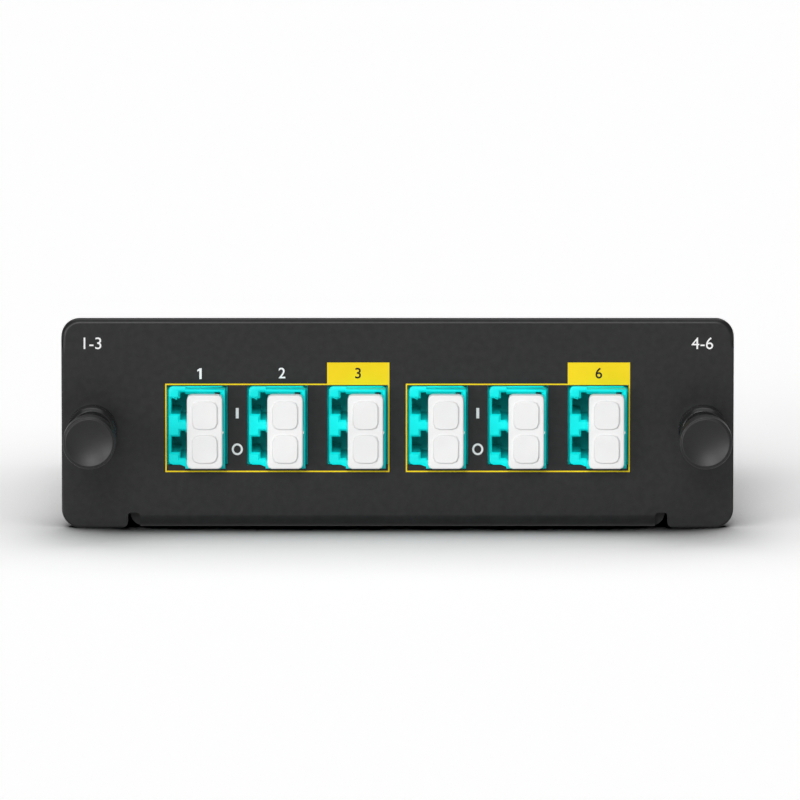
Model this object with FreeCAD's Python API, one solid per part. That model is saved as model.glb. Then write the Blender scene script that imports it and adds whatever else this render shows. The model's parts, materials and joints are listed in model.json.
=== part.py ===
import FreeCAD, Part
import math
import os

V = FreeCAD.Vector

# Optical tap cassette. Millimetres. X runs to the right, Y to the rear, Z up.
# While modelling, the panel's front face lies at y = 0 and the floor's underside at z = 0.

# Panel and bent sheet
EAR_W = 11.1             # ear beyond the side wall; 109 mm over both ears
PANEL_OVER = 17.4        # adapters' centre to the panel's top edge; 34 mm high in all
PANEL_CORNER_R = 3.0     # corners of the panel, seen from the front
SHEET = 1.5              # sheet thickness of the tray
BEND_R = 0.6             # inside radius of each bend
SIDE_ROOM = 2.625        # retainer plate to the side wall's inner face
ROOF_ROOM = 0.1          # adapters' shoulders to the lid
RELIEF_W = 1.6           # bend relief, inward from the side wall's outer face
RELIEF_OUT = 0.4         # bend relief, outward from it
RELIEF_FLARE = 0.9       # rounded foot of the ear beside the relief
RELIEF_OVER = 0.35       # bend relief in the panel, above the bend
RELIEF_DEEP = 0.5        # bend relief in the floor, behind the bend
RELIEF_R = 0.5           # corner of a bend relief
WALL_GAP = 0.2           # between a side wall's end and the sheet across it

# Lid, its tabs and its screws
LID_T = 1.0              # thickness of the lid
TAB_W = 7.0              # how far a tab reaches inward from the side wall
TAB_L = 10.0             # length of a tab along the wall
TAB_INSET = 9.0          # rear tab's middle, from the rear face
TAB_PITCH = 36.0         # front tab to rear tab
SCREW_R = 1.0            # shank of a lid screw
SCREW_HEAD_R = 1.9       # countersunk head
SCREW_LAND = 0.2         # lid left below the head's cone
SCREW_L = 4.2            # overall length of a lid screw
SCREW_FIT = 0.05         # radial gap of a shank in the tab's thread
SCREW_CLEAR = 0.25       # radial gap of a shank in the lid
HEAD_CLEAR = 0.1         # radial gap around the cone

# Duplex adapters
ADAPTERS = 6             # number of adapters
ADAPTER_PITCH = 13.0     # centre to centre
ADAPTER_W = 9.15         # width
ADAPTER_H = 12.8         # height
ADAPTER_REAR = 25.9      # panel's front face to the adapter's rear end
LATCH_FACE = 0.4         # the latch side's face, in front of the panel
FACE_GAP = 0.1           # panel to the latch side's foot and the nose
NOSE = 2.9               # the nose's face, in front of the panel
NOSE_X = 2.7             # left side of the adapter to the nose
NOSE_H = 12.9            # height of the nose
NOSE_DROP = 0.25         # nose's centre below the adapter's
NOSE_MOUTH = 0.5         # lead-in chamfer of a slot in the nose
SWEEP = 1.0              # rounded step from the latch side's foot to the nose's
NOTCH_W = 0.9            # notch above a slot, at its right end
NOTCH_H = 0.42           # height of the notch
NOTCH_L = 2.0            # depth of the notch from the nose's face
CUT_CLEAR_X = 0.35       # panel cut-out beyond the adapter at each side
CUT_CLEAR_Z = 0.15       # panel cut-out beyond the adapter above and below
SHOULDER_X = 1.0         # shoulder beyond the adapter at each side
SHOULDER_Z = 0.6         # shoulder beyond the adapter above and below
SHOULDER_T = 1.5         # thickness of the shoulder
PORT_PITCH = 6.25        # port to port in one adapter
SLOT_X = 1.82            # left side of the adapter to the port's slot
SLOT_W = 6.53            # width of the slot
SLOT_H = 4.5             # height of the slot
KEY_X = 0.39             # left side of the adapter to the keyway
KEY_H = 2.56             # height of the keyway
MOUTH = 0.35             # lead-in chamfer of slot and keyway on the latch side
CORNER = 0.6             # rounded corners of the latch side's face
WEB_T = 1.2              # wall between front and rear ports
SLEEVE_LEN = 6.8         # split sleeve
SLEEVE_R = 0.85          # outside of the split sleeve
SLEEVE_WALL = 0.18       # wall of the split sleeve
SLEEVE_SLIT = 0.3        # slit of the split sleeve
HOLDER_CLEAR = 0.1       # radial gap around the sleeve
HOLDER_WALL = 0.55       # wall of the sleeve holder
HOLDER_OVER = 0.3        # holder beyond the sleeve at each end

# Retainer plate behind the shoulders
RETAINER_T = 1.2         # thickness of the plate
RETAINER_RIM = 1.2       # plate beyond the outer shoulders
RETAINER_FOOT = 0.6      # plate below the collars
FLOOR_ROOM = 1.2         # plate to the floor
RETAINER_CLEAR = 0.15    # gap around the adapters
STUD_R = 1.25            # welded stud
STUD_GAP = 2.05          # collar to the adapters' shoulders
STUD_PITCH = 26.0        # stud to stud
STUD_OVER = 0.8          # stud beyond the nut
COLLAR_R = 2.2           # collar that spaces the plate from the panel
NUT_FLAT = 5.0           # across flats
NUT_T = 2.0              # height of a nut
NUT_FIT = 0.05           # radial gap of a nut or the plate on a stud

# Dust caps
CAP_X = 3.01             # left side of the adapter to the cap
CAP_W = 5.75             # width of the cap's plate
CAP_H = 12.0             # height of the cap's plate
CAP_DROP = 0.5           # cap's centre below the adapter's
CAP_T = 2.2              # thickness of the cap's plate
CAP_GAP = 0.1            # plate to the adapter's nose
CAP_R = 0.7              # corners of the plate
PAD_W = 4.0              # raised pad, width
PAD_H = 4.5              # raised pad, height
PAD_R = 1.0              # raised pad, corners
PAD_PITCH = 5.5          # pad to pad
PAD_T = 0.3              # raised pad, height above the plate
PLUG_CLEAR = 0.1         # cap's plug to the slot at each side
PLUG_WALL = 0.8          # wall of the cap's hollow plug
PLUG_EDGE = 0.5          # bevelled edges of the cap's plug
PLUG_L = 8.0             # length of the cap's plug

# Latches in the ears
LATCH_OUT = 6.1          # side wall's outer face to a latch
LATCH_DROP = 0.9         # latches' centre below the panel's centre
FLANGE_R = 3.95          # grommet's flange
FLANGE_T = 4.5           # grommet's flange, in front of the panel
FLANGE_EDGE_R = 0.4      # rounded front edge of the flange
LEG_WALL = 0.6           # wall of the grommet's legs
BARREL_STEP = 0.2        # barrel inside the ear, beyond the legs
BARREL_CLEAR = 0.1       # hole in the ear beyond the barrel
BARREL_L = 8.0           # barrel and legs, from the panel's front face
LIP_RISE = 0.15          # snap lip behind the ear, above the barrel
LEG_TAPER = 0.3          # legs' ends, thinner by this much
LEG_TAPER_L = 0.8        # length of the taper
LEG_SLOT = 0.9           # slots between the legs
LEG_ROOT = 0.6           # snap lip and uncut barrel behind the ear
PIN_R = 2.3              # plunger's pin
PIN_CLEAR = 0.3          # pin to the grommet's bore
PIN_REAR = 5.0           # pin's tip behind the panel's front face, pulled out
HEAD_R = 4.25            # plunger's head
HEAD_T = 3.6             # thickness of the head's rim
HEAD_FRONT = 18.3        # head's face in front of the panel, pulled out
HEAD_EDGE_R = 0.5        # rounded edge of the head
DISH_RIM = 0.3           # flat rim around the dished face
DISH_T = 0.7             # depth of the dish
NECK_R = 3.3             # small end of the cone behind the head
NECK_T = 1.9             # length of the cone

# Inner plugs, ferrules, boots
PLUG_SIDE = 4.2          # inner plug's square section
PLUG_SEAT = 0.3          # inner plug to the adapter's web
PLUG_OUT = 1.5           # inner plug beyond the adapter's rear end
LEVER_W = 1.6            # latch lever
LEVER_T = 0.7            # thickness of the latch lever
LEVER_RISE = 1.1         # lever's free end above the plug
LEVER_START = 3.0        # plug's nose to the lever's root
LEVER_L = 9.0            # length of the lever
FERRULE_R = 0.625        # ferrule
FERRULE_CLEAR = 0.03     # ferrule to its bore in the plug
FERRULE_L = 9.0          # length of the ferrule
BOOT_R = 1.7             # boot at the plug
BOOT_END_R = 0.95        # boot at the lead
BOOT_L = 7.6             # length of the boot

# Fibre leads, the coil, splitters and guides
LEAD_R = 0.45            # buffered fibre
LEAD_BEND = 9.0          # bend radius of a lead
LEAD_STRAIGHT = 2.0      # shortest straight run of a lead behind its boot
LEAD_RUN = 1.0           # lead along the coil
COIL_R = 15.0            # outside radius of the coil's ends
COIL_SIDE = 5.3          # coil to the side wall's inner face
COIL_T = 2.2             # thickness of the wound band
COIL_OVER = 0.5          # wound band above the upper leads
REAR_ROOM = 0.3          # guides to the bend at the rear wall
COIL_GAP = 0.1           # lead or leg to the band
SPLITTER_R = 1.5         # splitter tube
LEG_RUN = 1.0            # straight leg at a splitter's end
SPLITTER_EDGE = 0.3      # chamfer of its ends
SPLITTER_Z = 6.5         # lower splitters
SPLITTER_RISE = 6.0      # lower to upper splitters
SPLITTER_GAP = 0.3       # splitter to the band and to the guide's post
LEG_GAP = 1.2            # leg to leg at a splitter's double end
LEG_ANGLE = 60.0         # how far a leg follows the coil's end
GUIDE_W = 4.0            # width of a guide
GUIDE_T = 1.0            # posts and base of a guide
GUIDE_GAP = 0.3          # band to the guide's outer post
GUIDE_SIDE = 1.8         # guide beside the end of the lead on its left
HOOK = 0.5               # guide's hooks over the band
GUIDE_OVER = 0.3         # band's top to the hooks

# Flats of round forms
SIDES = 6                # small round piece along Y
SCREW_SIDES = 8          # lid screw
TURN_SIDES = 24          # plunger, and the grommet's flange
CORD_SIDES = 6           # buffered fibre
CORD_STEP = 22.5         # bend of a buffered fibre to each flat, in degrees
END_STEPS = 12           # a coil's end
CORNER_STEPS = 2         # small rounded corner
SWEEP_STEPS = 4          # rounded step beside the nose

# Print on the panel
PRINT_T = 0.08           # thickness of the print
LINE = 0.22              # width of the frame's line
PRINT_SIDE = 0.25        # frame beyond the cut-outs at the sides
PRINT_TOP = 0.25         # frame above the cut-outs
PRINT_FOOT = 1.1         # frame below the cut-outs
FLAG_W = 10.1            # flag on the frame
FLAG_H = 3.45            # height of the flag

# Worked out from the sizes above
BEND_OUT = BEND_R + SHEET
ADAPTER_HALF_ROW = ADAPTER_PITCH * (ADAPTERS - 1) / 2
RETAINER_HALF = ADAPTER_HALF_ROW + ADAPTER_W / 2 + SHOULDER_X + RETAINER_RIM
INNER_W = 2 * (RETAINER_HALF + SIDE_ROOM)
BODY_W = INNER_W + 2 * SHEET
PANEL_W = BODY_W + 2 * EAR_W
RELIEF_X = BODY_W / 2 - RELIEF_W
RELIEF_H = BEND_OUT + RELIEF_OVER
RELIEF_D = BEND_OUT + RELIEF_DEEP
RETAINER_Z = SHEET + FLOOR_ROOM
STUD_Z = RETAINER_Z + RETAINER_FOOT + COLLAR_R
SHOULDER_FOOT = STUD_Z + COLLAR_R + STUD_GAP
ADAPTER_Z = SHOULDER_FOOT + SHOULDER_Z + ADAPTER_H / 2
SHOULDER_TOP = ADAPTER_Z + ADAPTER_H / 2 + SHOULDER_Z
PANEL_H = ADAPTER_Z + PANEL_OVER
WALL_TOP = SHOULDER_TOP + ROOF_ROOM
BODY_H = WALL_TOP + LID_T
SCREW_HEAD_T = LID_T - SCREW_LAND
MID_Y = (ADAPTER_REAR - NOSE) / 2
PORT_X = SLOT_X + SLOT_W - SLOT_H / 2
SHOULDER_REAR = SHEET + SHOULDER_T
RETAINER_REAR = SHOULDER_REAR + RETAINER_T
HOLDER_HALF = SLEEVE_LEN / 2 + HOLDER_OVER
HOLDER_BORE = SLEEVE_R + HOLDER_CLEAR
HOLDER_R = HOLDER_BORE + HOLDER_WALL
LATCH_X = BODY_W / 2 + LATCH_OUT
LATCH_Z = PANEL_H / 2 - LATCH_DROP
LEG_R = PIN_R + PIN_CLEAR + LEG_WALL
BARREL_R = LEG_R + BARREL_STEP
LIP_R = BARREL_R + LIP_RISE
NOSE_Z = ADAPTER_Z - NOSE_DROP
CAP_Z = ADAPTER_Z - CAP_DROP
DISH_R = HEAD_R - HEAD_EDGE_R - DISH_RIM
PLUG_FRONT = MID_Y + WEB_T / 2 + PLUG_SEAT
PLUG_REAR = ADAPTER_REAR + PLUG_OUT
BOOT_REAR = PLUG_REAR + BOOT_L
COIL_AROUND = COIL_R + COIL_GAP + LEAD_R
COIL_A = INNER_W / 2 - COIL_SIDE - COIL_R
COIL_Y = BOOT_REAR + LEAD_STRAIGHT + LEAD_BEND + COIL_AROUND
COIL_Z = SHEET + GUIDE_T
COIL_TOP = ADAPTER_Z + PORT_PITCH / 2 + LEAD_R + COIL_OVER
SPLITTER_L = 2 * (COIL_A - LEG_RUN)
BODY_D = COIL_Y + COIL_R + GUIDE_GAP + GUIDE_T + REAR_ROOM + BEND_OUT
HALF_DEPTH = (BODY_D - HEAD_FRONT) / 2
FRAME_SHIFT = V(0, -HALF_DEPTH, 0)


def box(x0, y0, z0, x1, y1, z1):
    return Part.makeBox(x1 - x0, y1 - y0, z1 - z0, V(x0, y0, z0))


def rod(x, z, y0, y1, r):
    """Cylinder along Y."""
    return Part.makeCylinder(r, y1 - y0, V(x, y0, z), V(0, 1, 0))


def circle_points(r, sides):
    """Corners of a regular polygon around a circle's centre, with a flat on its first axis."""
    angles = [2 * math.pi * (i + 0.5) / sides for i in range(sides)]
    return [(r * math.cos(a), r * math.sin(a)) for a in angles]


def small_rod(x, z, y0, y1, r):
    """Small round piece along Y with few flats."""
    points = [V(x + dx, y0, z + dz) for dx, dz in circle_points(r, SIDES)]
    return polygon_prism(points, V(0, y1 - y0, 0))


def screw_rod(x, y, z0, z1, r):
    """Shank of a lid screw, with few flats."""
    points = [V(x + dx, y + dy, z0) for dx, dy in circle_points(r, SCREW_SIDES)]
    return polygon_prism(points, V(0, 0, z1 - z0))


def ringed(rings):
    """Solid through polygons with as many corners each, with flat sides between them."""
    faces = [Part.Face(Part.makePolygon(ring + [ring[0]])) for ring in (rings[0], rings[-1])]
    for near, far in zip(rings, rings[1:]):
        for i in range(len(near)):
            j = (i + 1) % len(near)
            faces.append(Part.Face(Part.makePolygon([near[i], near[j], far[j], far[i], near[i]])))
    return Part.makeSolid(Part.Shell(faces))


def fuse(shapes):
    whole = shapes[0]
    if len(shapes) > 1:
        whole = whole.multiFuse(shapes[1:])
    return whole.removeSplitter()


def polygon_prism(points, step):
    wire = Part.makePolygon(points + [points[0]])
    return Part.Face(wire).extrude(step)


def rounded_plate(x0, z0, x1, z1, y0, y1, r):
    """Plate in the XZ plane with its four corners rounded."""
    plate = box(x0, y0, z0, x1, y1, z1)
    edges = [e for e in plate.Edges if abs(e.BoundBox.YLength - (y1 - y0)) < 1e-6]
    edges = [e for e in edges if e.BoundBox.XLength < 1e-6 and e.BoundBox.ZLength < 1e-6]
    return plate.makeFillet(r, edges)


def small_plate(x0, z0, x1, z1, y0, y1, r):
    """Plate in the XZ plane whose rounded corners have few flats."""
    points = []
    for cx, cz, start in ((x1 - r, z1 - r, 0), (x0 + r, z1 - r, 90), (x0 + r, z0 + r, 180), (x1 - r, z0 + r, 270)):
        for i in range(CORNER_STEPS + 1):
            a = math.radians(start + 90 * i / CORNER_STEPS)
            points.append(V(cx + r * math.cos(a), y0, cz + r * math.sin(a)))
    return polygon_prism(points, V(0, y1 - y0, 0))


def turned(x, z, profile):
    """Solid with flats about the Y axis through (x, z); profile holds (radius, y) points, front to rear."""
    rings = [[V(x + dx, y, z + dz) for dx, dz in circle_points(r, TURN_SIDES)] for r, y in profile]
    return ringed(rings)


def corner_round(r, y, radius, steps):
    """Points of a rounded front edge at radius r."""
    points = []
    for i in range(steps + 1):
        a = math.pi / 2 * i / steps
        points.append((r - radius + radius * math.sin(a), y + radius - radius * math.cos(a)))
    return points


def adapter_xs():
    return [ADAPTER_PITCH * i - ADAPTER_HALF_ROW for i in range(ADAPTERS)]


def port_zs():
    return [ADAPTER_Z - PORT_PITCH / 2, ADAPTER_Z + PORT_PITCH / 2]


def adapter_left(x):
    return x - ADAPTER_W / 2


def port_x(x):
    return adapter_left(x) + PORT_X


def lead_xs():
    return [port_x(x) for x in adapter_xs()]


def stud_xs():
    return [-STUD_PITCH, 0, STUD_PITCH]


def screw_places():
    rear = BODY_D - TAB_INSET
    x = INNER_W / 2 - TAB_W / 2
    return [(sx * x, y) for sx in (-1, 1) for y in (rear - TAB_PITCH, rear)]


# Tray -----------------------------------------------------------------------

def bend_section(x0, x1, y_face, way):
    """Quarter bend from an upright sheet into the floor; way is 1 at the front, -1 at the rear."""
    outer = BEND_OUT
    centre_y = y_face + way * outer
    tube = Part.makeCylinder(outer, x1 - x0, V(x0, centre_y, outer), V(1, 0, 0))
    bore = Part.makeCylinder(BEND_R, x1 - x0 + 2, V(x0 - 1, centre_y, outer), V(1, 0, 0))
    y0 = min(y_face, centre_y)
    y1 = max(y_face, centre_y)
    return tube.cut(bore).common(box(x0, y0, 0, x1, y1, outer))


def channel():
    """Floor and side walls with their rounded bends."""
    y0 = SHEET + WALL_GAP
    y1 = BODY_D - SHEET - WALL_GAP
    half = BODY_W / 2
    outside = box(-half, y0, 0, half, y1, WALL_TOP)
    inside = box(-half + SHEET, y0, SHEET, half - SHEET, y1, WALL_TOP)
    low_out = [e for e in outside.Edges if e.BoundBox.ZMax < 1e-6 and e.BoundBox.YLength > y1 - y0 - 1e-6]
    outside = outside.makeFillet(BEND_OUT, low_out)
    low_in = [e for e in inside.Edges if abs(e.BoundBox.ZMax - SHEET) < 1e-6
              and e.BoundBox.YLength > y1 - y0 - 1e-6]
    inside = inside.makeFillet(BEND_R, low_in)
    return outside.cut(inside)


def upright(x0, x1, z1, y_face, way, r):
    """Upright sheet, bent into the floor between the reliefs."""
    y0 = min(y_face, y_face + way * SHEET)
    y1 = y0 + SHEET
    plate = box(x0, y0, 0, x1, y1, z1)
    if r > 0:
        plate = rounded_plate(x0, 0, x1, z1, y0, y1, r)
    plate = plate.cut(box(-RELIEF_X, y0 - 1, -1, RELIEF_X, y1 + 1, BEND_OUT))
    bend = bend_section(-RELIEF_X, RELIEF_X, y_face, way)
    ya = y_face + way * BEND_OUT
    yb = y_face + way * (BEND_OUT + RELIEF_D)
    strip = box(-RELIEF_X, min(ya, yb), 0, RELIEF_X, max(ya, yb), SHEET)
    return [plate, bend, strip]


def relief(side, y_face, way):
    """Tool that cuts one bend relief."""
    xa = side * RELIEF_X
    xb = side * (BODY_W / 2 + RELIEF_OUT)
    y0 = min(y_face - way, y_face + way * RELIEF_D)
    y1 = max(y_face - way, y_face + way * RELIEF_D)
    x0 = min(xa, xb)
    x1 = max(xa, xb)
    return small_plate(x0, -RELIEF_H, x1, RELIEF_H, y0, y1, RELIEF_R)


def ear_foot(side):
    """Tool that rounds the ear's foot beside the relief."""
    x0 = side * (BODY_W / 2 + RELIEF_OUT)
    x1 = x0 + side * RELIEF_FLARE
    corner = box(min(x0, x1), -1, -1, max(x0, x1), SHEET + 1, RELIEF_FLARE)
    return corner.cut(rod(x1, RELIEF_FLARE, -2, SHEET + 2, RELIEF_FLARE))


def tab(side, y):
    """Bent tab that carries a lid screw."""
    half = BODY_W / 2
    y0 = y - TAB_L / 2
    y1 = y + TAB_L / 2
    centre = V(side * (half - BEND_OUT), y0, WALL_TOP - BEND_OUT)
    tube = Part.makeCylinder(BEND_OUT, TAB_L, centre, V(0, 1, 0))
    bore = Part.makeCylinder(BEND_R, TAB_L + 2, centre - V(0, 1, 0), V(0, 1, 0))
    xa = side * half
    xb = side * (half - BEND_OUT)
    quarter = box(min(xa, xb), y0, WALL_TOP - BEND_OUT, max(xa, xb), y1, WALL_TOP)
    bend = tube.cut(bore).common(quarter)
    xc = side * (INNER_W / 2 - TAB_W)
    plate = box(min(xb, xc), y0, WALL_TOP - SHEET, max(xb, xc), y1, WALL_TOP)
    return [bend, plate], quarter


def base_tray():
    half = BODY_W / 2
    parts = [channel()]
    parts += upright(-PANEL_W / 2, PANEL_W / 2, PANEL_H, 0, 1, PANEL_CORNER_R)
    parts += upright(-half, half, WALL_TOP, BODY_D, -1, 0)
    tray = fuse(parts)
    tools = []
    for side in (-1, 1):
        tools.append(relief(side, 0, 1))
        tools.append(relief(side, BODY_D, -1))
        tools.append(ear_foot(side))
    for x in adapter_xs():
        w = ADAPTER_W / 2 + CUT_CLEAR_X
        h = ADAPTER_H / 2 + CUT_CLEAR_Z
        tools.append(box(x - w, -1, ADAPTER_Z - h, x + w, SHEET + 1, ADAPTER_Z + h))
    for side in (-1, 1):
        tools.append(rod(side * LATCH_X, LATCH_Z, -1, SHEET + 1, BARREL_R + BARREL_CLEAR))
    tray = tray.cut(tools)
    added = []
    for x, y in screw_places():
        side = 1 if x > 0 else -1
        pieces, corner = tab(side, y)
        tray = tray.cut(corner)
        added += pieces
    for x in stud_xs():
        added.append(small_rod(x, STUD_Z, SHEET, SHOULDER_REAR, COLLAR_R))
        added.append(small_rod(x, STUD_Z, SHEET, RETAINER_REAR + NUT_T + STUD_OVER, STUD_R))
    tray = fuse([tray] + added)
    threads = [screw_rod(x, y, WALL_TOP - SHEET - 1, WALL_TOP + 1, SCREW_R + SCREW_FIT)
               for x, y in screw_places()]
    return tray.cut(threads).removeSplitter()


def lid():
    half = BODY_W / 2
    plate = box(-half, SHEET + WALL_GAP, WALL_TOP, half, BODY_D, BODY_H)
    for x, y in screw_places():
        hole = screw_rod(x, y, WALL_TOP - 1, BODY_H + 1, SCREW_R + SCREW_CLEAR)
        plate = plate.cut([hole, screw_cone(x, y, HEAD_CLEAR)])
    return plate


def screw_cone(x, y, clear):
    """Countersunk head, flush with the lid's top."""
    z = BODY_H - SCREW_HEAD_T
    low = [V(x + dx, y + dy, z) for dx, dy in circle_points(SCREW_R + clear, SCREW_SIDES)]
    high = [V(x + dx, y + dy, BODY_H) for dx, dy in circle_points(SCREW_HEAD_R + clear, SCREW_SIDES)]
    return ringed([low, high])


def lid_screws():
    screws = []
    for x, y in screw_places():
        shank = screw_rod(x, y, BODY_H - SCREW_L, BODY_H - SCREW_HEAD_T, SCREW_R)
        screws.append(fuse([screw_cone(x, y, 0), shank]))
    return screws


# Adapters -------------------------------------------------------------------

def mouth(x0, x1, z, half, y, size):
    """Lead-in chamfer around an opening whose front edge lies at y."""
    rings = []
    for grow, depth in ((size, 0), (0, size)):
        xa = x0 - grow
        xb = x1 + grow
        za = z - half - grow
        zb = z + half + grow
        rings.append([V(xa, y + depth, za), V(xb, y + depth, za), V(xb, y + depth, zb), V(xa, y + depth, zb)])
    return ringed(rings)


def latch_face(left, z0, z1):
    """Latch side's outline in front of the panel: rounded corners and a swept step down to the nose."""
    foot = NOSE_Z - NOSE_H / 2
    nose_left = left + NOSE_X
    points = []
    for cz, start in ((z1 - CORNER, 90), (z0 + CORNER, 180)):
        for i in range(CORNER_STEPS + 1):
            a = math.radians(start + 90 * i / CORNER_STEPS)
            points.append((left + CORNER + CORNER * math.cos(a), cz + CORNER * math.sin(a)))
    for i in range(SWEEP_STEPS + 1):
        t = i / SWEEP_STEPS
        fall = (1 - math.cos(math.pi * t)) / 2
        points.append((nose_left - SWEEP * (1 - t), z0 - (z0 - foot) * fall))
    points.append((nose_left, z1))
    outline = [V(x, -LATCH_FACE, z) for x, z in points]
    return polygon_prism(outline, V(0, LATCH_FACE - FACE_GAP, 0))


def adapter(x):
    """Front and rear half of an adapter, which meet in the middle of the web between the ports."""
    left = adapter_left(x)
    z0 = ADAPTER_Z - ADAPTER_H / 2
    z1 = ADAPTER_Z + ADAPTER_H / 2
    right = left + ADAPTER_W
    neck = small_plate(left, z0, right, z1, -FACE_GAP, SHEET, CORNER)
    core = box(left, SHEET, z0, right, ADAPTER_REAR, z1)
    nose = box(left + NOSE_X, -NOSE, NOSE_Z - NOSE_H / 2, right, -FACE_GAP, NOSE_Z + NOSE_H / 2)
    rim = box(left - SHOULDER_X, SHEET, z0 - SHOULDER_Z, right + SHOULDER_X, SHOULDER_REAR, z1 + SHOULDER_Z)
    block = fuse([neck, core, latch_face(left, z0, z1), nose, rim])
    slot_left = left + SLOT_X
    slot_right = slot_left + SLOT_W
    web = WEB_T / 2
    latch_side = box(left, -LATCH_FACE, z0, left + NOSE_X, SHEET, z1)
    tools = []
    for z in port_zs():
        top = z + SLOT_H / 2
        for ya, yb in ((-NOSE - 1, MID_Y - web), (MID_Y + web, ADAPTER_REAR + 1)):
            tools.append(box(slot_left, ya, z - SLOT_H / 2, slot_right, yb, top))
            tools.append(box(left + KEY_X, ya, z - KEY_H / 2, slot_left, yb, z + KEY_H / 2))
        tools.append(box(slot_right - NOTCH_W, -NOSE - 1, top, slot_right, NOTCH_L - NOSE, top + NOTCH_H))
        tools.append(mouth(slot_left, slot_right, z, SLOT_H / 2, -NOSE, NOSE_MOUTH))
        tools.append(mouth(slot_left, slot_right, z, SLOT_H / 2, -LATCH_FACE, MOUTH).common(latch_side))
        tools.append(mouth(left + KEY_X, slot_right, z, KEY_H / 2, -LATCH_FACE, MOUTH).common(latch_side))
    block = block.cut(tools)
    px = port_x(x)
    y0 = MID_Y - HOLDER_HALF
    y1 = MID_Y + HOLDER_HALF
    block = fuse([block] + [small_rod(px, z, y0, y1, HOLDER_R) for z in port_zs()])
    block = block.cut([small_rod(px, z, y0 - 1, y1 + 1, HOLDER_BORE) for z in port_zs()])
    reach = ADAPTER_H + ADAPTER_W
    rear_side = box(x - reach, MID_Y, ADAPTER_Z - reach, x + reach, ADAPTER_REAR + 1, ADAPTER_Z + reach)
    return block.cut(rear_side), block.common(rear_side)


def sleeves():
    pieces = []
    for x in lead_xs():
        for z in port_zs():
            y0 = MID_Y - SLEEVE_LEN / 2
            y1 = MID_Y + SLEEVE_LEN / 2
            sleeve = small_rod(x, z, y0, y1, SLEEVE_R)
            sleeve = sleeve.cut(small_rod(x, z, y0 - 1, y1 + 1, SLEEVE_R - SLEEVE_WALL))
            slit = box(x - SLEEVE_SLIT / 2, y0 - 1, z, x + SLEEVE_SLIT / 2, y1 + 1, z + 2 * SLEEVE_R)
            pieces.append(sleeve.cut(slit))
    return pieces


def retainer():
    plate = box(-RETAINER_HALF, SHOULDER_REAR, RETAINER_Z, RETAINER_HALF, RETAINER_REAR, SHOULDER_TOP)
    tools = []
    for x in adapter_xs():
        w = ADAPTER_W / 2 + RETAINER_CLEAR
        h = ADAPTER_H / 2 + RETAINER_CLEAR
        tools.append(box(x - w, SHOULDER_REAR - 1, ADAPTER_Z - h, x + w, RETAINER_REAR + 1, ADAPTER_Z + h))
    for x in stud_xs():
        tools.append(small_rod(x, STUD_Z, SHOULDER_REAR - 1, RETAINER_REAR + 1, STUD_R + NUT_FIT))
    return plate.cut(tools)


def retainer_nuts():
    nuts = []
    corner = NUT_FLAT / math.sqrt(3)
    for x in stud_xs():
        angles = [math.radians(60 * i + 30) for i in range(6)]
        points = [V(x + corner * math.cos(a), RETAINER_REAR, STUD_Z + corner * math.sin(a)) for a in angles]
        nut = polygon_prism(points, V(0, NUT_T, 0))
        hole = small_rod(x, STUD_Z, RETAINER_REAR - 1, RETAINER_REAR + NUT_T + 1, STUD_R + NUT_FIT)
        nuts.append(nut.cut(hole))
    return nuts


def dust_cap(x):
    left = adapter_left(x) + CAP_X
    right = left + CAP_W
    back = -NOSE - CAP_GAP
    face = back - CAP_T
    plate = small_plate(left, CAP_Z - CAP_H / 2, right, CAP_Z + CAP_H / 2, face, back, CAP_R)
    middle = (left + right) / 2
    pieces = [plate]
    for z in (CAP_Z - PAD_PITCH / 2, CAP_Z + PAD_PITCH / 2):
        pieces.append(small_plate(middle - PAD_W / 2, z - PAD_H / 2, middle + PAD_W / 2, z + PAD_H / 2,
                                  face - PAD_T, face, PAD_R))
    half = SLOT_H / 2 - PLUG_CLEAR
    hollow = half - PLUG_WALL
    px = port_x(x)
    for z in port_zs():
        plug = bevelled_bar(px, z, half, back, back + PLUG_L)
        inner = box(px - hollow, back, z - hollow, px + hollow, back + PLUG_L + 1, z + hollow)
        pieces.append(plug.cut(inner))
    return fuse(pieces)


def bevelled_bar(x, z, half, y0, y1):
    """Square bar along Y with bevelled edges."""
    near = half - PLUG_EDGE
    corners = [(half, -near), (half, near), (near, half), (-near, half),
               (-half, near), (-half, -near), (-near, -half), (near, -half)]
    return polygon_prism([V(x + dx, y0, z + dz) for dx, dz in corners], V(0, y1 - y0, 0))


# Latches --------------------------------------------------------------------

def latch_grommet(side):
    """Flanged grommet snapped into the ear; its legs behind the ear are truly round."""
    x = side * LATCH_X
    bore = PIN_R + PIN_CLEAR
    root = SHEET + LEG_ROOT
    taper = BARREL_L - LEG_TAPER_L
    profile = corner_round(FLANGE_R, -FLANGE_T, FLANGE_EDGE_R, 2)
    profile += [(FLANGE_R, 0), (BARREL_R, 0), (BARREL_R, SHEET), (LIP_R, SHEET), (LIP_R, root)]
    tip = Part.makeCone(LEG_R, LEG_R - LEG_TAPER, LEG_TAPER_L, V(x, taper, LATCH_Z), V(0, 1, 0))
    body = fuse([turned(x, LATCH_Z, profile), rod(x, LATCH_Z, root, taper, LEG_R), tip])
    body = body.cut(turned(x, LATCH_Z, [(bore, -FLANGE_T - 1), (bore, BARREL_L + 1)]))
    y1 = BARREL_L + 1
    reach = LIP_R + 1
    slot_a = box(x - LEG_SLOT / 2, root, LATCH_Z - reach, x + LEG_SLOT / 2, y1, LATCH_Z + reach)
    slot_b = box(x - reach, root, LATCH_Z - LEG_SLOT / 2, x + reach, y1, LATCH_Z + LEG_SLOT / 2)
    return body.cut([slot_a, slot_b])


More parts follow.
